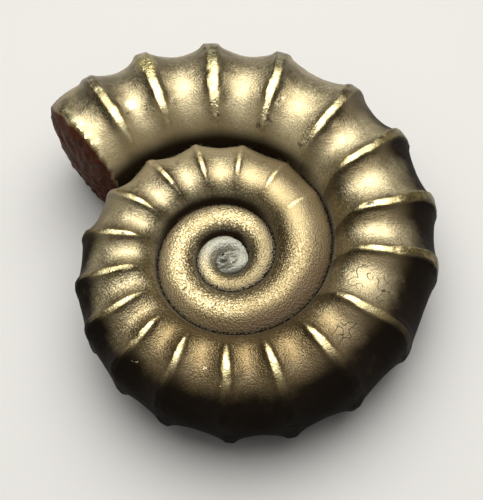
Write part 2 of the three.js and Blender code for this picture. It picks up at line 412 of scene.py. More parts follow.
def straight_tube(name, steps):
    bpy.ops.mesh.primitive_cylinder_add(
        vertices=SECTION_POINTS, radius=1, depth=1, end_fill_type="NOTHING", location=(0, 0, 0.5)
    )
    tube = bpy.context.object
    tube.name = name
    bpy.ops.object.transform_apply(location=True)
    rows = tube.modifiers.new("rows", "ARRAY")
    rows.count = steps
    rows.use_relative_offset = False
    rows.use_constant_offset = True
    rows.constant_offset_displace = (0, 0, 1)
    rows.use_merge_vertices = True
    rows.merge_threshold = MERGE_REACH
    bpy.ops.object.modifier_apply(modifier=rows.name)
    bpy.ops.object.mode_set(mode="EDIT")
    bpy.ops.mesh.select_all(action="SELECT")
    bpy.ops.mesh.fill_holes(sides=0)
    bpy.ops.mesh.normals_make_consistent(inside=False)
    bpy.ops.object.mode_set(mode="OBJECT")
    return tube


print("a straight tube steps 1 along Z for each ring")

# %% [markdown]
# ## Roll the tubes up
#
# Every vertex of a straight tube then moves: its height says which ring it is on, and its
# direction from Z says the place round the section. Both are also kept on the vertex, because the
# finish needs them later.
#
# One tube of four and a half turns would cut through itself, so the spiral is made in pieces of
# less than a turn. Each piece tapers to a plug inside its neighbour. At the mouth, rings that
# shrink and bulge forward make the shallow broken face.

# %% Make the tubes
LONGEST_PIECE = 300
PLUG_SCALE = 0.6
MOUTH_BULGE, MOUTH_RINGS = 0.36 * MM, 14
MOUTH_SHRINK, MOUTH_CROWDING = 0.97, 1.15


def read_points(piece):
    points = np.empty(len(piece.data.vertices) * 3)
    piece.data.vertices.foreach_get("co", points)
    return points.reshape(-1, 3)


def write_points(piece, points):
    piece.data.vertices.foreach_set("co", np.ascontiguousarray(points).ravel())
    piece.data.update()


def add_numbers(piece, name, values):
    layer = piece.data.attributes.new(name, "FLOAT", "POINT")
    layer.data.foreach_set("value", values.astype(np.float32))


def read_numbers(piece, name):
    values = np.empty(len(piece.data.vertices), dtype=np.float32)
    piece.data.attributes[name].data.foreach_get("value", values)
    return values.astype(float)


def roll_up(tube, rings):
    """Rolls a straight tube up. rings is a list of (winding angle, scale, set back)."""
    straight = read_points(tube)
    row = np.rint(straight[:, 2]).astype(int)
    winding, scale, set_back = np.array(rings, dtype=float)[row].T
    place = np.degrees(np.arctan2(-straight[:, 1], straight[:, 0]))
    write_points(tube, worn_surface_point(winding, place, scale, set_back))
    add_numbers(tube, "winding", winding)
    add_numbers(tube, "place", place)
    add_numbers(tube, "scale", scale)


def mouth_rings():
    shares = np.linspace(0, 1, MOUTH_RINGS + 1)[1:]
    scales = 1 - MOUTH_SHRINK * shares**MOUTH_CROWDING
    bulges = MOUTH_BULGE * np.sqrt(1 - scales**2)
    return [(LAST_WINDING, a, -b) for a, b in zip(scales, bulges)]


def whorl_pieces():
    pieces, start, last = [], 0, len(angles) - 1
    while start < last:
        stop = min(int(np.searchsorted(angles, angles[start] + LONGEST_PIECE)), last)
        rings = [(angle, 1, 0) for angle in angles[start : stop + 1]]
        if start > 0:
            rings.insert(0, (angles[start - 1], PLUG_SCALE, 0))
        rings += mouth_rings() if stop == last else [(angles[stop + 1], PLUG_SCALE, 0)]
        tube = straight_tube(f"whorl_{len(pieces)}", len(rings) - 1)
        roll_up(tube, rings)
        pieces.append(tube)
        start = stop
    return pieces


pieces = whorl_pieces()
print(len(pieces), "pieces,", sum(len(p.data.vertices) for p in pieces), "vertices")

# %% [markdown]
# ## The wrinkled pad in the middle
#
# The smallest turns are worn to a grey oval pad with fine wrinkles and a small hole. It is a ball
# with its top and bottom pressed flat, a little tilted, and long narrow noise raises the wrinkles.
# They are sharp because the noise is folded at zero, so each place where it changes sign becomes
# a ridge.

# %% The pad
PAD_SIZE = Vector((0.76, 0.54, 0.60)) * MM
PAD_PLACE = Vector((0.05, 0.05, 0)) * MM
PAD_FLATNESS = 0.4
PAD_TILT = 0.10 * MM
PAD_SEGMENTS, PAD_RINGS = 160, 96
WRINKLE_LENGTH, WRINKLE_WIDTH, WRINKLE_DEPTH = 0.34 * MM, 0.10 * MM, 0.07 * MM
WRINKLE_SHARPNESS = 3
WRINKLES_PLACE, WRINKLES_REACH = (-0.16, 0.0), (0.46, 0.36)
OVAL_EDGE = (0.7, 1.15)
pad_turn = np.array(Matrix.Rotation(VIEW_DIRECTION - math.pi / 2, 3, "Z"))


def in_oval(points, place, size):
    """1 inside an oval, 0 outside it. place and size are in mm, in the pad's own frame."""
    along = (points[:, 0] / MM - place[0]) / size[0]
    across = (points[:, 1] / MM - place[1]) / size[1]
    return (1 - smoothstep(np.hypot(along, across), *OVAL_EDGE)) * (points[:, 2] > 0)


def wrinkles_at(points):
    """From 1 on a wrinkle's ridge down to about -1 in the grooves between."""
    across = points * (1 / WRINKLE_LENGTH, 1 / WRINKLE_WIDTH, 0)
    return 1 - WRINKLE_SHARPNESS * np.abs(noise_at(across, 1, 4))


bpy.ops.mesh.primitive_uv_sphere_add(segments=PAD_SEGMENTS, ring_count=PAD_RINGS, radius=1)
pad = bpy.context.object
ball = read_points(pad)
ball[:, 2] = np.sign(ball[:, 2]) * np.abs(ball[:, 2]) ** PAD_FLATNESS
ball *= np.array(PAD_SIZE)
wrinkled = in_oval(ball, WRINKLES_PLACE, WRINKLES_REACH)
slope = ball[:, 0] / PAD_SIZE.x - ball[:, 1] / PAD_SIZE.y
tilted = PAD_TILT * slope * (ball[:, 2] > 0)
ball[:, 2] += WRINKLE_DEPTH * wrinkled * wrinkles_at(ball) + tilted
write_points(pad, ball @ pad_turn.T + np.array(PAD_PLACE))
add_numbers(pad, "winding", np.full(len(ball), FIRST_WINDING))
add_numbers(pad, "place", np.full(len(ball), 90))
add_numbers(pad, "scale", np.ones(len(ball)))
print("pad:", len(ball), "vertices")

# %% [markdown]
# ## One solid shell
#
# The whorl pieces and the pad are joined by a Boolean union. It deletes what is hidden inside and
# leaves a crisp seam wherever one turn meets the next. Laying the pieces into each other without
# a union would look alike, but the mesh would hold inner walls that the fossil hasn't got.

# %% Join the pieces


def unite(whole, part):
    bpy.ops.object.select_all(action="DESELECT")
    bpy.context.view_layer.objects.active = whole
    join = whole.modifiers.new("join", "BOOLEAN")
    join.operation = "UNION"
    join.solver = "MANIFOLD"
    join.object = part
    bpy.ops.object.modifier_apply(modifier=join.name)
    bpy.data.objects.remove(part, do_unlink=True)


shell = pieces[0]
for part in [pad, *pieces[1:]]:
    unite(shell, part)
shell.name = "ammonite_shell"
triangles = sum(len(face.vertices) - 2 for face in shell.data.polygons)
print("joined:", len(shell.data.vertices), "vertices,", triangles, "triangles")

# %% [markdown]
# ## Lay the shell down
#
# The matrix from the start lays the spiral on its flank. The crests that would reach below the
# surface are worn to it, which gives the shell small level flats to lie on.

# %% Lie on the surface
SHARPEST_SMOOTH = math.radians(50)

points = read_points(shell)
spiral_points = points.copy()
rotation = np.array(laid_down.to_3x3())
points = points @ rotation.T + np.array(laid_down.translation)
points[:, 2] = np.maximum(points[:, 2], 0)
write_points(shell, points)
bpy.ops.object.select_all(action="DESELECT")
shell.select_set(True)
bpy.context.view_layer.objects.active = shell
bpy.ops.object.shade_smooth_by_angle(angle=SHARPEST_SMOOTH)
print("lowest and highest, mm:", points.min(0).round(5) / MM, points.max(0).round(5) / MM)

# %% [markdown]
# ## Where the finish changes
#
# The finish depends on where a point is on the spiral: crests are polished, seams hold dirt, flanks
# and outer side have a film, the centre is grey, and the mouth is a dull break. Shade and light are
# also painted into the colour in some places. Each becomes a mask, a number from 0 to 1 on every
# vertex, and the material reads them all. Painting the masks with a brush would be slower, and each
# change of shape would need it done again.
#
# The union made new vertices along the seams, and those know nothing of the spiral. They take
# their numbers from the nearest vertex that does.

# %% Places of the new vertices
winding, place, scale = (read_numbers(shell, name) for name in ("winding", "place", "scale"))
known = np.flatnonzero(scale > 0)
on_seam = np.flatnonzero(scale == 0)
finder = KDTree(len(known))
for i in known:
    finder.insert(spiral_points[i], i)
finder.balance()
nearest = [finder.find(spiral_points[i])[1] for i in on_seam]
for name, numbers in (("winding", winding), ("place", place), ("scale", scale)):
    numbers[on_seam] = numbers[nearest]
    shell.data.attributes[name].data.foreach_set("value", numbers.astype(np.float32))
side = np.abs(place)
print(len(on_seam), "new vertices along the seams")

# %% [markdown]
# ## How far the next turn is
#
# Dirt and shade gather where two turns meet, so every vertex needs its distance to the turn inside
# it and to the turn outside it. The spiral's formula gives both, roughly, and that is close enough
# for a soft edge.

# %% Distance to the next turn
radius = np.hypot(spiral_points[:, 0], spiral_points[:, 1])
around = np.degrees(np.arctan2(spiral_points[:, 1], spiral_points[:, 0]))
turned = around + 360 * np.round((winding - around) / 360)


def distance_to_turn(winding, radius, height):
    """Distance from points to the wall of the turn at a winding angle, roughly, in metres."""
    high, wide = half_height(winding), half_width(winding)
    across = (radius - outer_radius(winding)) / high + 1
    up = np.abs(height / wide) / (1 - INWARD_BULGE * np.clip(across, -1, 1))
    reach = (np.abs(across) ** SQUARENESS + up**SQUARENESS) ** (1 / SQUARENESS)
    exists = (winding < LAST_WINDING) & (winding > FIRST_WINDING)
    return np.where(exists, np.maximum(reach - 1, 0) * high, np.inf)


inner_gap = distance_to_turn(turned - 360, radius, spiral_points[:, 2])
outer_gap = distance_to_turn(turned + 360, radius, spiral_points[:, 2])
seam_distance = np.minimum(inner_gap, outer_gap)
seam_distance[on_seam] = 0
print("seam distance, mm:", (np.percentile(seam_distance, (5, 50, 95)) / MM).round(3))

# %% [markdown]
# ## Masks for crests and mouth
#
# A crest is bright where its flat is in the mesh, and on the rim of the mouth. The early ribs get
# the crest's colour on the flank only. Along the middle of a crest that faces up, and on the rim, a
# lit, lighter copy of the crest's colour paints the highlight, and the film stays off it there. The
# face of the mouth, and the outer side of the lip next to it, are dull and dark brown.

# %% Crests and mouth
CREST_EDGE = (-0.15, 0.35)
BRIGHT_SHARE, BRIGHT_EDGE = 0.62, (-0.3, 0.4)
NARROWEST_CREST = 0.05
FIRST_CRESTS = (10, 35)
BARE_OUTER_SIDE, BARE_UNTIL = (46, 64), (320, 360)
RIM_START, RIM_END, RIM_FROM = (496.5, 498), (125, 150), 50
MOUTH_EDGE = (0.975, 0.995)
DULL_LIP, DULL_LIP_PLACES = (492, 499), (30, 58)
LIT_PLACES = (66, 88)
LIT_LATE_SHIFT, LIT_LATE_SHIFTS = 23, (400, 440)
LIT_EARLY_SHIFT, LIT_EARLY_SHIFTS = 10, (180, 230)
LIT_POLISH, LATE_POLISH, LATE_POLISH_RISES = 0.7, 0.85, (315, 350)


def add_mask(name, values):
    add_numbers(shell, name, np.clip(values, 0, 1))


distance, crest_half, _ = nearest_rib(winding)
crest_edge = crest_half * crest_share(winding, place)
rim = smoothstep(winding, *RIM_START) * (1 - smoothstep(side, *RIM_END)) * (side > RIM_FROM)
crest = 1 - smoothstep(distance - crest_edge, *CREST_EDGE)
crest *= (crest_edge > NARROWEST_CREST) * smoothstep(winding, *FIRST_CRESTS)
crest *= 1 - (1 - smoothstep(side, *BARE_OUTER_SIDE)) * (1 - smoothstep(winding, *BARE_UNTIL))
bright = 1 - smoothstep(distance - BRIGHT_SHARE * crest_edge, *BRIGHT_EDGE)

mouth = (1 - smoothstep(scale, *MOUTH_EDGE)) * (winding > LAST_WINDING - 1)
dull_lip = smoothstep(winding, *DULL_LIP) * (1 - smoothstep(side, *DULL_LIP_PLACES))
mouth = np.maximum(mouth, dull_lip)
crest = np.maximum(crest, rim) * (1 - mouth)
bright = np.maximum(bright, rim) * (1 - mouth)

late_shift = LIT_LATE_SHIFT * smoothstep(winding, *LIT_LATE_SHIFTS)
early_shift = LIT_EARLY_SHIFT * (1 - smoothstep(winding, *LIT_EARLY_SHIFTS))
# Painted highlight: the middle of a crest that faces up gets a lit, lighter copy of the crest's
# colour, and the film stays off it.
lit = smoothstep(place + late_shift + early_shift, *LIT_PLACES) * bright
late_polish = LATE_POLISH * smoothstep(winding, *LATE_POLISH_RISES)
add_mask("crest", crest)
add_mask("lit", lit)
add_mask("polished", crest * np.maximum(LIT_POLISH * lit, late_polish))
add_mask("mouth", mouth)
print("crests and mouth cover", [round(float(m.mean()), 3) for m in (crest, mouth)])

# %% [markdown]
# ## Masks for seams and walls
#
# Dark dirt sits in the seam between two turns and thins out within a tenth of a millimetre. The wall
# above a seam gets little light, so it gets a painted shade, and where it faces the bottom of the
# picture a black painted shadow. Near the mouth the inner side of the last turn gets a pale, dull
# colour that is a painted reflection.

# %% Seams and walls
SEAM_WIDTH, SEAM_NARROWING = 0.11 * MM, 0.5
SEAM_START, WALL_START = (-600, -480), (-600, -500)
FACING_DOWN, FACING_DOWN_EDGE = 105, (0.1, 0.8)
SOOT_REACH, WALL_REACH = (0.3, 1.1), 0.48
CLEAN_WALL = (350, 400)
PALE_SHARE, PALE_WINDINGS, PALE_PLACES = 0.55, (385, 425), (100, 130)

facing_down = smoothstep(np.cos(np.radians(winding - FACING_DOWN)), *FACING_DOWN_EDGE)
seam = np.exp(-seam_distance / (SEAM_WIDTH * (1 - SEAM_NARROWING * facing_down)))
on_wall = (side > 90) * smoothstep(winding, *WALL_START) * (1 - mouth)
gap_share = inner_gap / (MM * half_height(winding) / half_height(LAST_WINDING))
# Painted shadow: black on the wall above a seam, where the wall faces the bottom of the picture.
painted_wall_shadow = (1 - smoothstep(gap_share, *SOOT_REACH)) * facing_down
# Painted shade: darker on the wall above a seam, close to the turn inside it.
wall = 1 - np.clip(gap_share / WALL_REACH, 0, 1)
wall *= 1 - facing_down * smoothstep(winding, *CLEAN_WALL)
# Painted reflection: a pale, dull colour on the inner side of the last turn.
painted_reflection = smoothstep(winding, *PALE_WINDINGS) * smoothstep(side, *PALE_PLACES)
add_mask("seam", seam * smoothstep(winding, *SEAM_START))
add_mask("painted_wall_shadow", painted_wall_shadow * on_wall)
add_mask("wall", wall * on_wall)
add_mask("painted_reflection", PALE_SHARE * painted_reflection * on_wall)
print("seams cover", round(float(seam.mean()), 3))

# %% [markdown]
# ## Masks for the film and painted shade
#
# A brown film covers the outer side and fades towards the flank. It starts lower on the last half
# turn. On the bottom of the picture, and beside the ribs on their lower side in the picture, it
# reaches further up as painted shade. On the middle part of the last turn, away from the top of the
# picture, the outer side is painted nearly black, as shade. Painted shade also darkens the valleys
# right beside the ribs, and the upper side of the picture gets a lighter film colour, as painted
# light. Long stretches on the flanks of the turns are darker, some of them as painted shade. Each
# stretch is four winding angles: it fades in over the first two and out over the last two.

# %% Film and painted shade
EARLY, LATE = (60, 160), (395, 440)
BOTTOM = (205, 260, 335, 390)
RIGHT, LEFT = (290, 330, 405, 440), (110, 150, 245, 275)
SECOND_TURN, UPPER_START = (60, 100, 165, 215), (400, 435)
BEFORE_RIB, AFTER_RIB, BELOW_RIB, AFTER_SHARE = (3, 9.5), (2.5, 6), (2, 10), 0.6
TARNISH_START = {"base": 32, "early": 16, "painted_shade_at_bottom": 14, "late": -15, "painted_shade_below_rib": 22}
TARNISH_END = {"base": 90, "early": 10, "painted_shade_at_bottom": 16, "late": -30, "painted_shade_below_rib": 12}
VALLEY_PLACES, RIGHT_VALLEYS, UPPER_VALLEYS, LIP_VALLEY = (30, 60), 0.75, 0.5, 2
BLACK_PLACES, BLACK_STRETCH = (52, 96), (130, 180, 390, 450)


def stretch(x, start, full, fading, end):
    """0 up to start, 1 from full to fading, and 0 again from end on."""
    return smoothstep(x, start, full) * (1 - smoothstep(x, fading, end))


past_rib = winding - ribs[np.abs(winding[:, None] - ribs).argmin(axis=1)]
before = (1 - smoothstep(-past_rib, *BEFORE_RIB)) * (past_rib < 0)
after = AFTER_SHARE * (1 - smoothstep(past_rib, *AFTER_RIB)) * (past_rib > 0)
after_left = (1 - smoothstep(past_rib, *BELOW_RIB)) * (past_rib > 0) * stretch(winding, *LEFT)
on_right = stretch(winding, *RIGHT)
on_upper = np.maximum(smoothstep(winding, *UPPER_START), stretch(winding, *SECOND_TURN))
# Two shares are painted shade: the bottom one raises the film on the bottom of the picture, and the
# below one on the lower side of each rib in the picture.
shares = {
    "base": 1,
    "early": 1 - smoothstep(winding, *EARLY),
    "painted_shade_at_bottom": stretch(winding, *BOTTOM),
    "late": smoothstep(winding, *LATE),
    "painted_shade_below_rib": before * on_right + after_left,
}
start, end = (
    sum(shares[key] * change for key, change in edge.items())
    for edge in (TARNISH_START, TARNISH_END)
)
film_and_shade = 1 - np.clip((side - start) / (end - start), 0, 1)
near_lip = smoothstep(winding, LAST_RIB, LAST_RIB + LIP_VALLEY)
# Painted shade in the valleys right beside the ribs.
upper_valleys = (UPPER_VALLEYS + UPPER_VALLEYS * near_lip) * (before + after) * on_upper
painted_valley_shade = np.maximum(RIGHT_VALLEYS * before * on_right, upper_valleys)
# Painted shade: the outer side turns nearly black on the last turn, away from the top of the
# picture.
painted_black_shade = (1 - smoothstep(side, *BLACK_PLACES)) * stretch(winding, *BLACK_STRETCH)
# The film mask is partly a real film and partly painted shade.
add_mask("film_and_shade", film_and_shade * (1 - mouth))
# The upper side of the picture, where the film colour is lighter as painted light.
add_mask("upper", on_upper)
add_mask("painted_valley_shade", painted_valley_shade * smoothstep(side, *VALLEY_PLACES) * (1 - mouth))
add_mask("painted_black_shade", painted_black_shade)
print("film and black cover", [round(float(m.mean()), 3) for m in (film_and_shade, painted_black_shade)])

# %% Long stretches
# Darker stretches along the spiral. The first is painted shade at the bottom of the picture, the
# last is painted shade on the lower side of the inner turns, and the two between are only darker.
STRETCHES = {
    "painted_bottom_shade": (0.75, (185, 245, 310, 350)),
    "darker_right_stretch": (0.45, (-110, -60, 45, 100)),
    "darker_inner_stretch": (0.7, (-490, -430, -340, -290)),
    "painted_inner_shade": (1.0, (-120, -60, -20, 30)),
}
LOW_FLANK, LOW_FLANK_STRETCH, LOW_FLANK_PLACES = 0.85, (-190, -130, -40, 30), (70, 96)

for name, (share, ends) in STRETCHES.items():
    add_mask(name, share * stretch(winding, *ends))
# Painted shade on the low flank of the inner turns, on the lower side of the picture.
painted_low_flank_shade = stretch(winding, *LOW_FLANK_STRETCH) * (1 - smoothstep(side, *LOW_FLANK_PLACES))
add_mask("painted_low_flank_shade", LOW_FLANK * painted_low_flank_shade)
print(len(STRETCHES) + 1, "stretches of film")

# %% [markdown]
# ## Masks for metal and centre
#
# The bare metal isn't the same all over. On the first turns it is golden, with a lighter band along
# the middle of the flank that is a painted highlight, and its grain shows as sand-like speckles of
# dark grains and painted glints. Later turns are a greyer beige and smoother. The centre is grey,
# and its wrinkle grooves and hole get painted shade.

# %% Metal and centre
BEIGE_START = (55, 125)
BAND_PLACE, BAND_EDGE = 91, (4, 28)
FIRST_SAND, SAND_FALL, SAND_FALLS = 0.9, 0.55, (-10, 40)
LATE_SAND, LATE_SAND_FALL, LATE_SAND_FALLS = 0.65, 0.3, (300, 345)
LATE_SAND_START = (165, 200)
CENTRE_END = (-610, -470)
GROOVE_SHARE, GROOVE_EDGE = 0.75, (-0.35, 0.5)
HOLE_PLACE, HOLE_SIZE = (-0.22, 0.22), (0.075, 0.045)

first_sand = FIRST_SAND - SAND_FALL * smoothstep(winding, *SAND_FALLS)
late_sand = LATE_SAND - LATE_SAND_FALL * smoothstep(winding, *LATE_SAND_FALLS)
late_sand *= smoothstep(winding, *LATE_SAND_START)
centre = 1 - smoothstep(winding, *CENTRE_END)
in_pad = (spiral_points - np.array(PAD_PLACE)) @ pad_turn
grooves = smoothstep(-wrinkles_at(in_pad), *GROOVE_EDGE)
grooves *= GROOVE_SHARE * in_oval(in_pad, WRINKLES_PLACE, WRINKLES_REACH)
add_mask("beige", smoothstep(winding, *BEIGE_START))
# Painted highlight: a lighter band along the middle of the flank of the first turns.
add_mask("painted_highlight_band", 1 - smoothstep(np.abs(side - BAND_PLACE), *BAND_EDGE))
add_mask("sandy", np.maximum(first_sand, late_sand))
add_mask("centre", centre)
# Painted shade in the grooves of the pad's wrinkles and in its small hole.
add_mask("painted_pad_shade", np.maximum(grooves, in_oval(in_pad, HOLE_PLACE, HOLE_SIZE)))
print("centre covers", round(float(centre.mean()), 3))

# %% [markdown]
# ## How the finish is drawn
#
# The fossil is pyrite that took the shell's place grain by grain and was then worn smooth. To the
# eye it is a satin metal, brassy and a little grey, with a fine sparkle, and brighter on the rubbed
# crests. Film, dirt and the broken face aren't metal. Some shade, highlights and a reflection are
# painted into the colour. One material draws all of it: the masks say where each finish, painted
# shade and painted light is, and noise breaks up their edges.
#
# A photograph wrapped round the shell would fit one view only. Masks and noise are right from
# every side. Metal keeps its default IOR. Its colour, roughness and shine do the work.

# %% Material helpers
TIMES, TIMES_PLUS = {"operation": "MULTIPLY"}, {"operation": "MULTIPLY_ADD"}
PLUS, MINUS = {"operation": "ADD"}, {"operation": "SUBTRACT"}
LEAST, MOST = {"operation": "MINIMUM"}, {"operation": "MAXIMUM"}
SIZE_OF, LENGTH = {"operation": "ABSOLUTE"}, {"operation": "LENGTH"}
SMOOTH, COLOURS = {"interpolation_type": "SMOOTHSTEP"}, {"data_type": "RGBA"}

pyrite = bpy.data.materials.new("pyrite_cast_worn")
pyrite.use_nodes = True
tree = pyrite.node_tree
tree.nodes.clear()


def linear(code):
    """A colour as linear numbers, from an sRGB hex code."""
    parts = [int(code[i : i + 2], 16) / 255 for i in (1, 3, 5)]
    return (*[p / 12.92 if p <= 0.04045 else ((p + 0.055) / 1.055) ** 2.4 for p in parts], 1)


def add(kind, settings=None, inputs=(), output=0):
    """Adds a node and gives back one of its outputs.

    settings are the node's own values. inputs fill its sockets, in order or by name, with values
    or with the outputs of other nodes.
    """
    node = tree.nodes.new("ShaderNode" + kind)
    for key, value in (settings or {}).items():
        setattr(node, key, value)
    for key, value in inputs.items() if isinstance(inputs, dict) else enumerate(inputs):
        if isinstance(value, bpy.types.NodeSocket):
            tree.links.new(value, node.inputs[key])
        else:
            node.inputs[key].default_value = value
    if node.outputs:
        return node.outputs[output]


def coat(colour, layers):
    """Lays coats over a colour, first one first. A coat is the share it covers and its colour."""
    for share, over in layers:
        under, over = (linear(c) if isinstance(c, str) else c for c in (colour, over))
        colour = add("Mix", COLOURS, {0: share, 6: under, 7: over}, 2)
    return colour


print("material", pyrite.name)

# %% [markdown]
# ## Masks and noise in the material
#
# Every noise has a real size. Real pyrite grains are a few hundredths of a millimetre across,
# which is finer than a pixel of this view, so they are drawn 0.065 mm wide, as coarse as they
# need to be to show. The ripple is the slight unevenness of the wall, the mottle and the blotches
# are its changes of shade, and the squiggle is for the cracks.

# %% Masks and noise
NOISES = {  # size in mm, detail, roughness
    "grain": (0.065, 1.5, 0.6),
    "ripple": (0.16, 3, 0.6),
    "mottle": (0.35, 4, 0.6),
    "blotch": (1.6, 3, 0.55),
    "squiggle": (0.3, 0.6, 0.4),
}

where = add("TexCoord", output="Object")
masks = {}
for layer in shell.data.attributes:
    if layer.data_type == "FLOAT" and layer.name != "scale":
        masks[layer.name] = add("Attribute", {"attribute_name": layer.name}, output="Fac")
noises = {}
for name, (size, detail, roughness) in NOISES.items():
    inputs = {"Vector": where, "Scale": 1 / (size * MM), "Detail": detail, "Roughness": roughness}
    noises[name] = add("TexNoise", {}, inputs)
grain, ripple, mottle = noises["grain"], noises["ripple"], noises["mottle"]
print(len(masks), "numbers on each vertex and", len(noises), "noises")

# %% [markdown]
# ## Single marks
#
# The fossil has marks that no noise would put in the right place: pits and bright flakes on the
# crests and in the hollows, four rough patches, and short curved cracks on the right. A few of the
# bright flakes are painted glints, small bright dots of reflected light. Each is an oval on the
# whorl: its winding and place, its half sizes in both directions, and its turn, all in degrees. A
# wobble makes the ovals' edges uneven. The cracks are the lines where a noise takes one value, kept
# only inside three ovals.

# %% Marks on the whorl
PITS = [
    (485.2, 110, 0.9, 3, 0), (478.8, 112, 0.4, 4, 0), (477.3, 117, 0.4, 3.5, 0),
    (389.4, 65.8, 0.5, 1.6, 0), (437.6, 110.5, 2.8, 0.8, 0), (434.5, 124, 1.0, 5, 30),
    (438.5, 134, 1.5, 3, 0), (432.8, 104, 0.4, 7, 0), (455.4, 116, 2.2, 1.2, 40),
    (454.8, 130, 1.0, 2.0, 0), (415.4, 121, 0.8, 3, -30), (418.8, 133, 1.5, 3, 0),
    (-137, 94, 0.8, 9, 0), (-131, 97, 0.7, 7, 20), (-101, 97, 0.8, 8, -15), (-112, 91, 0.7, 5, 0),
    (392, 122, 1.2, 3, 0), (262, 86, 1.2, 2.5, 0), (172, 112, 0.9, 4, 0), (171, 95, 0.6, 3, 0),
    (152, 105, 0.7, 4, 0), (154, 112, 0.6, 2, 0), (128, 105, 1.6, 2.5, 0), (83.5, 105, 1.4, 2.0, 0),
    (376, 100, 0.8, 4, 0), (455.5, 62, 1.8, 0.8, 20), (436, 64, 1.6, 0.9, -20),
]
FLAKES = [
    (483, 103, 1.9, 8, 0), (436, 126, 1.2, 2.5, 0), (433.2, 108, 0.9, 1.6, 0),
    (432.2, 100, 0.6, 2, 0), (260.5, 86, 0.8, 1.8, 0), (454.7, 123, 0.9, 2.5, 0),
    (416.5, 126, 1.1, 4, -30), (129, 102, 0.9, 1.6, 0), (233.7, 58, 0.5, 1.0, 0),
    (232.2, 57, 0.4, 0.8, 0), (268, 68, 0.5, 1.0, 0), (208.3, 69, 0.6, 1.3, 0),
]
ROUGH = [
    (473.6, 62, 3.6, 26, 0), (455.8, 126, 1.9, 12, 0), (436.8, 124, 2.2, 16, 0),
    (417, 119, 2.6, 17, 0),
]
CRACKED = [(344.5, 104, 7, 16, 0), (342, 77, 7, 15, 0), (322, 80, 6, 13, 0)]
BROAD_CREST = [(473.4, 62, 3.4, 27, 0)]
WOBBLE_SIZE, WOBBLE = 0.12, (3.0, 9.0, 0)
OVAL_START, OVAL_FULL = 1.0, 0.55
CRACK_VALUE, CRACK_START, CRACK_FULL = 0.52, 0.022, 0.008

on_whorl = add("CombineXYZ", {}, {"X": masks["winding"], "Y": masks["place"]})
inputs = {"Vector": where, "Scale": 1 / (WOBBLE_SIZE * MM), "Detail": 2.0}
wobble = add("TexNoise", {}, inputs, "Color")
wobble = add("VectorMath", MINUS, [wobble, (0.5, 0.5, 0.5)])
wobble = add("VectorMath", TIMES, [wobble, WOBBLE])
on_whorl = add("VectorMath", PLUS, [on_whorl, wobble])


def in_ovals(ovals):
    """1 in the ovals, 0 outside them."""
    reach = 10.0
    for winding, place, half_winding, half_place, turned in ovals:
        size, rotation = (half_winding, half_place, 1), (0, 0, math.radians(turned))
        inputs = [on_whorl, (winding, place, 0), rotation, size]
        oval = add("Mapping", {"vector_type": "TEXTURE"}, inputs)
        reach = add("Math", LEAST, [add("VectorMath", LENGTH, [oval], "Value"), reach])
    return add("MapRange", SMOOTH, [reach, OVAL_START, OVAL_FULL])


pits, flakes_and_glints, rough, broad_crest = (in_ovals(o) for o in (PITS, FLAKES, ROUGH, BROAD_CREST))
off_line = add("Math", MINUS, [noises["squiggle"], CRACK_VALUE])
off_line = add("Math", SIZE_OF, [off_line])
lines = add("MapRange", SMOOTH, [off_line, CRACK_START, CRACK_FULL])
cracks = add("Math", TIMES, [lines, in_ovals(CRACKED)])
print(len(PITS), "pits,", len(FLAKES), "flakes,", len(ROUGH), "rough patches")

# %% [markdown]
# ## Metal, polish, film and painted shade
#
# The colour is built up like coats of paint. Under everything is the metal, golden on the first
# turns and beige later, with dark grains and painted glints in the sandy parts; on the first turns a
# lighter band along the middle of the flank is a painted highlight. Next come the darker stretches,
# some of them painted shade, and the painted shade in the valleys beside the ribs, so that the
# crests can cover them. Then come the crests, with a lit, lighter copy of their colour, a painted
# highlight, where they face up.

# %% Metal and crests
DARK_GRAIN, GLINT = (0.52, 0.36, 0, 0.85), (0.55, 0.66, 0, 0.75)
BLOTCHES = (0.45, 0.7, 0, 0.3)
BEIGE_MOTTLE, UNLIT_MOTTLE, POLISH_MOTTLE = (0.3, 0.7), (0.4, 0.6), (0.4, 0.62)
BROAD_CREST_SHARE = 0.8

# Dark grains, and bright painted glints that stand in for light sparkling on the grains.
dark_grain, painted_glint = (
    add("Math", TIMES, [add("MapRange", SMOOTH, [grain, *ends]), masks["sandy"]])
    for ends in (DARK_GRAIN, GLINT)
)
# The lighter band along the flank of the first turns is a painted highlight.
gold = coat("#675c42", [(masks["painted_highlight_band"], "#8f8260")])
beige = coat("#80755a", [(add("MapRange", SMOOTH, [mottle, *BEIGE_MOTTLE]), "#968b6c")])
# A crest's colour has an unlit copy and a lit, lighter copy that paints its highlight.
unlit = coat("#574d33", [(add("MapRange", SMOOTH, [mottle, *UNLIT_MOTTLE]), "#7d7049")])
lit_crest_colour = coat("#857a56", [(add("MapRange", SMOOTH, [mottle, *POLISH_MOTTLE]), "#b5aa84")])
metal_colour = coat(gold, [
    (masks["beige"], beige),
    (dark_grain, "#4e3d22"),
    (painted_glint, "#d8cca6"),
    (add("MapRange", SMOOTH, [noises["blotch"], *BLOTCHES]), "#7b6f4e"),
    # Painted shade at the bottom of the picture and on the low flank of the inner turns; the two
    # stretches after it are only darker.
    (masks["painted_bottom_shade"], "#524023"),
    (masks["painted_low_flank_shade"], "#483a20"),
    (masks["darker_right_stretch"], "#55472e"),
    (masks["darker_inner_stretch"], "#544a35"),
    # Painted shade in the valleys beside the ribs.
    (masks["painted_valley_shade"], "#4a3d27"),
    (masks["crest"], coat(unlit, [(masks["lit"], lit_crest_colour)])),
    (add("Math", TIMES, [broad_crest, BROAD_CREST_SHARE]), "#a39563"),
])
print("metal and crests coloured")

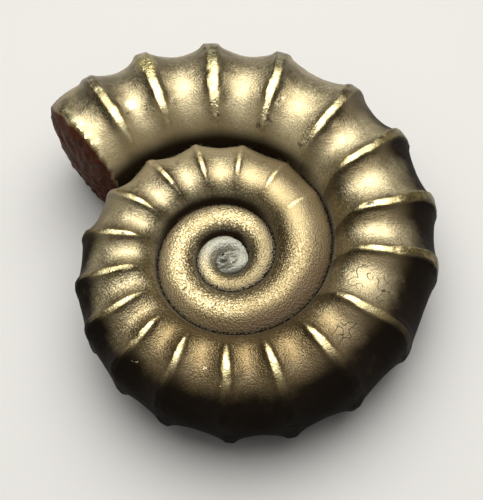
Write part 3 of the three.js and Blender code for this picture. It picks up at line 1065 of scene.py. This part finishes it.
# %% [markdown]
# ## Film, painted shade, dirt and the break
#
# The film of the outer side, partly painted shade, has a patchy edge: mottle and blotches shift it
# up and down. It stays off the polished crests. Its colour is lighter on the upper side of the
# picture, a painted light, and darker on the lower side, down to black, a painted shade. Dirt in the
# seams is speckled, because the grain decides where a little of it still sticks. The walls above the
# seams get painted shade and a black painted shadow, the pad's grooves and hole get painted shade,
# and the inner side of the last turn a pale painted reflection. Last come the bright flakes, a few
# of them painted glints, and the brown face of the break.

# %% Film and shade, dirt and break
PATCHY_MOTTLE, PATCHY_BLOTCH = 0.4, 0.6
DULL_EDGE = (0.05, 0.95)
WALL_GRAIN, WALL_EDGE = 0.3, (0.0, 0.75)
SEAM_FILM = (0.05, 0.55, 0, 0.55)
SPECK, DIRT_EDGE = 2.8, (0.5, 0.85)
DENT_DIRT, FLAKE_SHARE = 0.7, 0.5

patchy = add("Math", TIMES, [mottle, PATCHY_MOTTLE])
patchy = add("Math", TIMES_PLUS, [noises["blotch"], PATCHY_BLOTCH, patchy])
shift = add("Math", MINUS, [patchy, 0.5])
film_and_shade_cover = add("MapRange", SMOOTH, [add("Math", PLUS, [masks["film_and_shade"], shift]), *DULL_EDGE])
film_and_shade_cover = add("Math", TIMES, [film_and_shade_cover, add("Math", MINUS, [1.0, masks["polished"]])])
# The film's colour: lighter on the upper side of the picture as painted light, darker on the lower
# side of the inner turns and nearly black on the last turn away from the top, as painted shade.
film_and_shade_colour = coat("#584a2f", [
    (masks["upper"], "#796c4f"),
    (masks["painted_inner_shade"], "#43321b"),
    (masks["painted_black_shade"], "#120d08"),
])
off_middle = add("Math", MINUS, [grain, 0.5])
# Painted shade on the wall above a seam, broken up by the grain.
shade = add("Math", TIMES_PLUS, [off_middle, WALL_GRAIN, masks["wall"]])
shade = add("MapRange", SMOOTH, [shade, *WALL_EDGE])
seam_film = add("MapRange", SMOOTH, [masks["seam"], *SEAM_FILM])
dirt_and_shadow = add("Math", TIMES_PLUS, [off_middle, SPECK, masks["seam"]])
dirt_and_shadow = add("MapRange", SMOOTH, [dirt_and_shadow, *DIRT_EDGE])
dents = add("Math", TIMES, [add("Math", MOST, [pits, cracks]), DENT_DIRT])
# Painted shadow joins the dirt: black on the walls that face the bottom of the picture, and painted
# shade in the pad's grooves and hole.
for more in (dents, masks["painted_pad_shade"], masks["painted_wall_shadow"]):
    dirt_and_shadow = add("Math", MOST, [dirt_and_shadow, more])
colour = coat(metal_colour, [
    (film_and_shade_cover, film_and_shade_colour),
    # Painted shade of the wall above a seam.
    (shade, "#3d3729"),
    # Painted reflection on the inner side of the last turn.
    (masks["painted_reflection"], "#9c8d69"),
    (masks["centre"], "#6f6d60"),
    (seam_film, "#3b3625"),
    (dirt_and_shadow, "#1a130b"),
    # Bright flakes, a few of them painted glints.
    (add("Math", TIMES, [flakes_and_glints, FLAKE_SHARE]), "#c9bd99"),
    (masks["mouth"], "#40200f"),
])
print("film, dirt and break coloured")

# %% [markdown]
# ## Gloss and relief
#
# Freshly polished pyrite has a roughness near 0.2. This worn metal is satin, about 0.4, and a little
# smoother on the crests. Film, painted shade and dirt are rougher, and they hide the metal under
# them. The black painted shade, and the dirt with its painted shadow, hardly shine at all.
#
# The bump is only for what is too small for the mesh: the grain, a soft ripple, the rough patches
# and the cracks. Pits and flakes stay out of it, because so many marks in a bump are too much for
# one material.

# %% Gloss and metal
GLOSS = (0.3, 0.7, 0.36, 0.48)
ROUGHER = {"dirt_and_shadow": 0.3, "film_and_shade_cover": 0.12, "shade": 0.2, "crest": -0.1}
DULL_HIDES = (0, 1, 0.75, 1.0)
HIDES = {"film_and_shade_cover": 1, "shade": 0.85, "painted_reflection": 1, "dirt_and_shadow": 0.95, "centre": 0.6, "mouth": 1}
SPECULAR = (0, 1, 0.5, 0.02)

covers = {**masks, "dirt_and_shadow": dirt_and_shadow, "film_and_shade_cover": film_and_shade_cover, "shade": shade}
roughness = add("MapRange", SMOOTH, [grain, *GLOSS])
for name, more in ROUGHER.items():
    roughness = add("Math", TIMES_PLUS, [covers[name], more, roughness])
hidden = add("MapRange", SMOOTH, [masks["painted_black_shade"], *DULL_HIDES])
covers["film_and_shade_cover"] = add("Math", TIMES, [film_and_shade_cover, hidden])
metal = 1.0
for name, share in HIDES.items():
    bare = add("Math", TIMES_PLUS, [covers[name], -share, 1.0])
    metal = add("Math", TIMES, [metal, bare])
darkest = add("Math", MOST, [add("Math", MOST, [masks["mouth"], masks["painted_black_shade"]]), dirt_and_shadow])
specular = add("MapRange", SMOOTH, [darkest, *SPECULAR])
print("hidden metal:", HIDES)

# %% Relief and surface
BUMP_HEIGHT = 0.012 * MM
GRAIN_RELIEF, RIPPLE_RELIEF, ROUGH_RELIEF, CRACK_RELIEF = 3.4, 0.25, 6.0, -1.5

relief = add("Math", TIMES, [grain, add("Math", TIMES, [masks["sandy"], GRAIN_RELIEF])])
relief = add("Math", TIMES_PLUS, [ripple, RIPPLE_RELIEF, relief])
relief = add("Math", TIMES_PLUS, [add("Math", TIMES, [rough, ripple]), ROUGH_RELIEF, relief])
relief = add("Math", TIMES_PLUS, [cracks, CRACK_RELIEF, relief])
bump = add("Bump", {}, {"Strength": 1.0, "Distance": BUMP_HEIGHT, "Height": relief})
inputs = {
    "Base Color": colour,
    "Metallic": metal,
    "Roughness": roughness,
    "Specular IOR Level": specular,
    "Normal": bump,
}
add("OutputMaterial", {}, {"Surface": add("BsdfPrincipled", {}, inputs)})
shell.data.materials.clear()
shell.data.materials.append(pyrite)

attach(shell, "root")
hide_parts("ammonite")
print(len(tree.nodes), "nodes")

# %% [markdown]
# ## Floor and light
#
# The fossil lies on pale matt paper. One large soft light from the top of the picture draws the
# long highlights on the hollows and crests. It is aimed just past the shell's upper edge, so that
# the lower side falls off into shade. A wide dim light from straight above fills the shade.

# %% Floor
FLOOR_SIZE = 400 * MM
PAPER, PAPER_ROUGHNESS = "#95938f", 0.9

bpy.ops.mesh.primitive_plane_add(size=FLOOR_SIZE)
floor = bpy.context.object
floor.name = "floor"
paper = bpy.data.materials.new("paper")
paper.use_nodes = True
paper_inputs = paper.node_tree.nodes["Principled BSDF"].inputs
paper_inputs["Base Color"].default_value = linear(PAPER)
paper_inputs["Roughness"].default_value = PAPER_ROUGHNESS
floor.data.materials.append(paper)
print("floor", round(FLOOR_SIZE / MM), "mm wide")

# %% Light
ROOM, ROOM_STRENGTH = "#cccccc", 0.03

world = bpy.data.worlds.new("studio")
bpy.context.scene.world = world
world.use_nodes = True
room_inputs = world.node_tree.nodes["Background"].inputs
room_inputs["Color"].default_value = linear(ROOM)
room_inputs["Strength"].default_value = ROOM_STRENGTH
bpy.context.scene.view_settings.view_transform = "Standard"


def soft_light(name, tilt, side, distance, size, power, spread=180, aim=(0, 0)):
    """A square soft light, sizes in mm. tilt leans it to the frame's top, side to its right."""
    direction = Matrix.Rotation(math.radians(side), 3, frame_up) @ (
        Matrix.Rotation(math.radians(-tilt), 3, frame_right) @ Vector((0, 0, 1))
    )
    bpy.ops.object.light_add(type="AREA")
    light = bpy.context.object
    light.name = name
    light.data.shape = "SQUARE"
    light.data.size = size * MM
    light.data.energy = power
    light.data.spread = math.radians(spread)
    towards = (laid_down.to_3x3() @ direction).normalized()
    light.location = SPIRAL_CENTRE + towards * distance * MM
    right, up = (laid_down.to_3x3() @ axis for axis in (frame_right, frame_up))
    target = SPIRAL_CENTRE + (right * aim[0] + up * aim[1]) * MM
    light.rotation_euler = (light.location - target).to_track_quat("Z", "Y").to_euler()
    print(name, "light,", power, "W")


soft_light("key", 29, 5, 60, 100, 0.077, spread=95, aim=(-2, 8))
soft_light("ceiling", 0, 0, 100, 200, 0.13)
